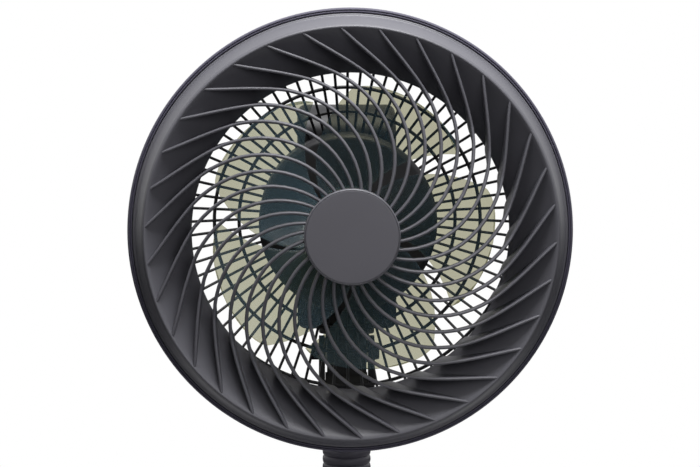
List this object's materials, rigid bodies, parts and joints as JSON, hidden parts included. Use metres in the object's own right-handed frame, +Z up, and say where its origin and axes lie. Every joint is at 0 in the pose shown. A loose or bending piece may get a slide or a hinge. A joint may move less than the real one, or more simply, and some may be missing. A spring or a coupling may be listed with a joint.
{
  "type": "air circulator fan",
  "caption": "Desk air circulator fan: deep round head with a spiral-finned front grille, see-through blades, a ribbed rear guard and a tilting, swinging head on a ribbed neck.",
  "frame": {"origin": "on the table, under the middle of the whole object's bounding box", "axes": "+Z up, the grille faces -Y, +X to the right of someone who looks at the grille"},
  "size_m": [0.36, 0.317, 0.51],
  "materials": {
    "guard_plastic": "satin",
    "rim_plastic": "semi gloss",
    "badge_plastic": "satin",
    "black_plastic": "satin",
    "stand_plastic": "satin",
    "knob_plastic": "satin",
    "blade_plastic": "clear tinted",
    "rubber": "matt",
    "cast_iron": "as cast",
    "steel": "bright",
    "zinc_sheet": "zinc plated",
    "bronze": "sintered",
    "copper": "enamelled wire"
  },
  "bodies": {
    "stand": {"base_shell": "stand_plastic", "base_plate": "black_plastic", "base_weight": "cast_iron", "foot_1": "rubber", "foot_2": "rubber", "foot_3": "rubber", "foot_4": "rubber", "rotary_switch": "black_plastic", "run_capacitor": "black_plastic", "cord_gland": "rubber", "neck_column": "stand_plastic", "neck_sleeve": "stand_plastic", "neck_nut": "steel", "tilt_bolt": "steel", "tilt_nut": "steel", "tilt_washer_left": "zinc_sheet", "tilt_washer_right": "zinc_sheet"},
    "knob": {"speed_knob": "knob_plastic"},
    "tilt": {"tilt_bracket": "black_plastic", "pivot_pin": "steel", "thrust_washer": "bronze", "pivot_clip": "steel"},
    "link": {"swing_link": "steel"},
    "head": {"head_carrier": "zinc_sheet", "pivot_bush": "bronze", "swing_motor": "zinc_sheet", "rear_cover": "black_plastic", "front_guard": "guard_plastic", "hub_badge": "badge_plastic", "guard_band": "rim_plastic", "rear_guard": "black_plastic", "motor_front_cover": "black_plastic", "motor_bracket_front": "zinc_sheet", "motor_bracket_rear": "zinc_sheet", "stator_core": "steel", "winding_front": "copper", "winding_rear": "copper", "shaft_bush_front": "bronze", "shaft_bush_rear": "bronze"},
    "crank": {"swing_crank": "knob_plastic"},
    "blade": {"fan_blade": "blade_plastic", "blade_nut": "black_plastic", "motor_shaft": "steel", "drive_pin": "steel", "rotor": "zinc_sheet"}
  },
  "joints": [
    {"name": "head_tilt", "type": "hinge", "parent": "stand", "child": "tilt", "pos_m": [0, 0.0485, 0.212], "axis": [1, 0, 0], "range_deg": [-12, 20]},
    {"name": "head_swing", "type": "hinge", "parent": "tilt", "child": "head", "pos_m": [0, 0.0485, 0.24], "axis": [0, 0, 1], "range_deg": [-40, 40]},
    {"name": "link_turn", "type": "hinge", "parent": "tilt", "child": "link", "pos_m": [0.014, 0.0485, 0.252], "axis": [0, 0, 1], "range_deg": [-42, 42]},
    {"name": "crank_turn", "type": "hinge", "parent": "head", "child": "crank", "pos_m": [0, 0.0785, 0.258], "axis": [0, 0, 1], "range_deg": [-92, 92]},
    {"name": "blade_spin", "type": "hinge", "parent": "head", "child": "blade", "pos_m": [0, -0.1015, 0.33], "axis": [0, 1, 0], "continuous": true},
    {"name": "speed_turn", "type": "hinge", "parent": "stand", "child": "knob", "pos_m": [0, -0.0575, 0.035], "axis": [0, 0, 1], "range_deg": [-135, 0]}
  ],
  "couplings": [
    {"joint": "link_turn", "follows": "head_swing", "ratio": 1},
    {"joint": "crank_turn", "follows": "head_swing", "ratio": 2.25}
  ]
}
